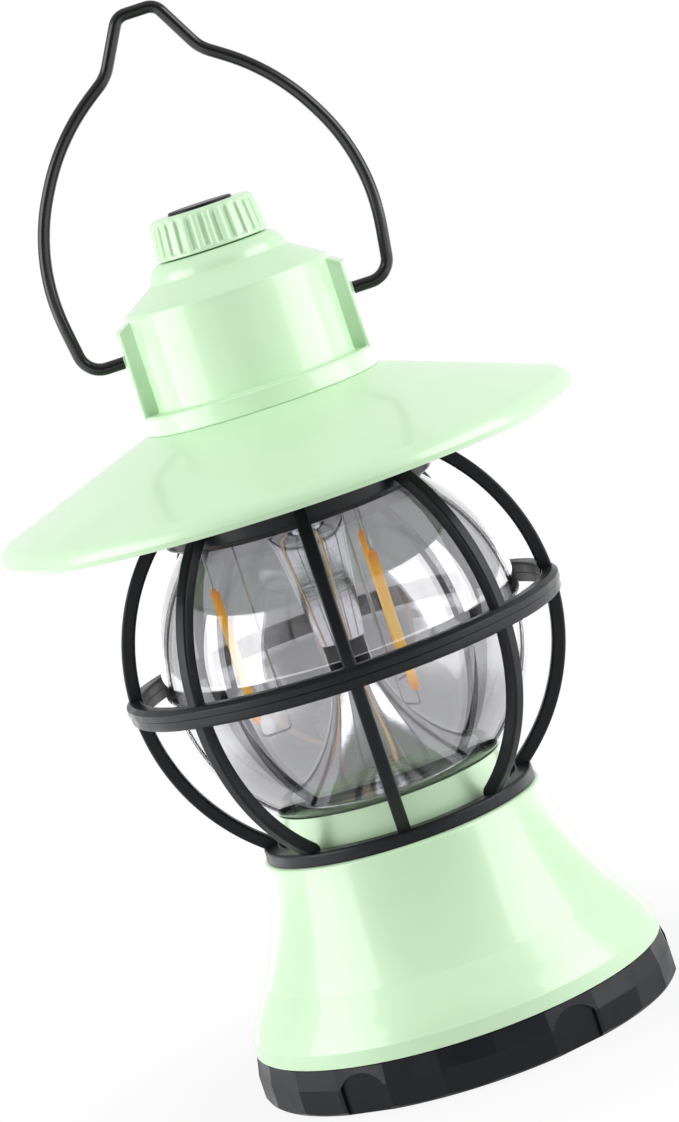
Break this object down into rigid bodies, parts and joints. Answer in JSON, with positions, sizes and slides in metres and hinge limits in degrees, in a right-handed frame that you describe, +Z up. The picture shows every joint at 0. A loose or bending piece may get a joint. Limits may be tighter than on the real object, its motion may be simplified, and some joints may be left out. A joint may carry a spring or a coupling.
{
  "type": "camping lantern",
  "caption": "Battery LED lantern shaped like an oil lamp: bell base with twist-off cover, caged clear globe with glowing filaments, cone shade, dimmer knob and wire bail.",
  "frame": {"origin": "centre of the foot, on the surface that the lantern stands on", "axes": "+Z up, the bail's pins along X, one rib of the cage faces -Y"},
  "size_m": [0.13, 0.13, 0.2355],
  "materials": {
    "green_plastic": "glossy pale mint green",
    "black_plastic": "satin black",
    "dark_plastic": "dark grey",
    "coated_wire": "semi-gloss black",
    "rubber": "matt black",
    "clear_plastic": "clear, slightly smoky",
    "chrome": "bright mirror",
    "nickel": "plated",
    "cell": "plain printed sleeve, no name",
    "board": "white circuit board",
    "filament": "glowing amber phosphor",
    "wire": "red and black sleeve"
  },
  "bodies": {
    "lantern": {"base_shell": "green_plastic", "battery_tray": "dark_plastic", "board_parts": "board", "cage_lower": "black_plastic", "cage_screws": "nickel", "cage_upper": "black_plastic", "cell_1": "cell", "cell_2": "cell", "cell_3": "cell", "contact_plates": "nickel", "contact_spring_1": "nickel", "contact_spring_2": "nickel", "contact_spring_3": "nickel", "dimmer_body": "dark_plastic", "dimmer_nut": "nickel", "driver_board": "board", "filament_1": "filament", "filament_2": "filament", "filament_3": "filament", "filament_board": "board", "filament_leads_1": "nickel", "filament_leads_2": "nickel", "filament_leads_3": "nickel", "filament_wires": "wire", "globe": "clear_plastic", "globe_seat": "green_plastic", "lower_gasket": "rubber", "neck_housing": "green_plastic", "neck_screws": "nickel", "reflector_lower": "chrome", "reflector_upper": "chrome", "seat_screws": "nickel", "shade": "green_plastic", "supply_wires": "wire", "top_hub": "black_plastic", "top_plate": "board", "tray_screws": "nickel", "upper_gasket": "rubber", "waist_sleeve": "dark_plastic", "wire_tube": "nickel"},
    "bail": {"bail": "coated_wire"},
    "dimmer_knob": {"knob": "green_plastic", "knob_disc": "black_plastic", "dimmer_shaft": "nickel"},
    "cover": {"battery_cover": "black_plastic", "foot_pad": "rubber"}
  },
  "joints": [
    {"name": "bail_swing", "type": "hinge", "parent": "lantern", "child": "bail", "pos_m": [0, 0, 0.1639], "axis": [1, 0, 0], "range_deg": [-112, 112]},
    {"name": "dimmer_turn", "type": "hinge", "parent": "lantern", "child": "dimmer_knob", "pos_m": [0, 0, 0.186], "axis": [0, 0, 1], "range_deg": [-135, 135]},
    {"name": "cover_twist", "type": "hinge", "parent": "lantern", "child": "cover", "pos_m": [0, 0, 0.005], "axis": [0, 0, 1], "range_deg": [0, 22]}
  ]
}
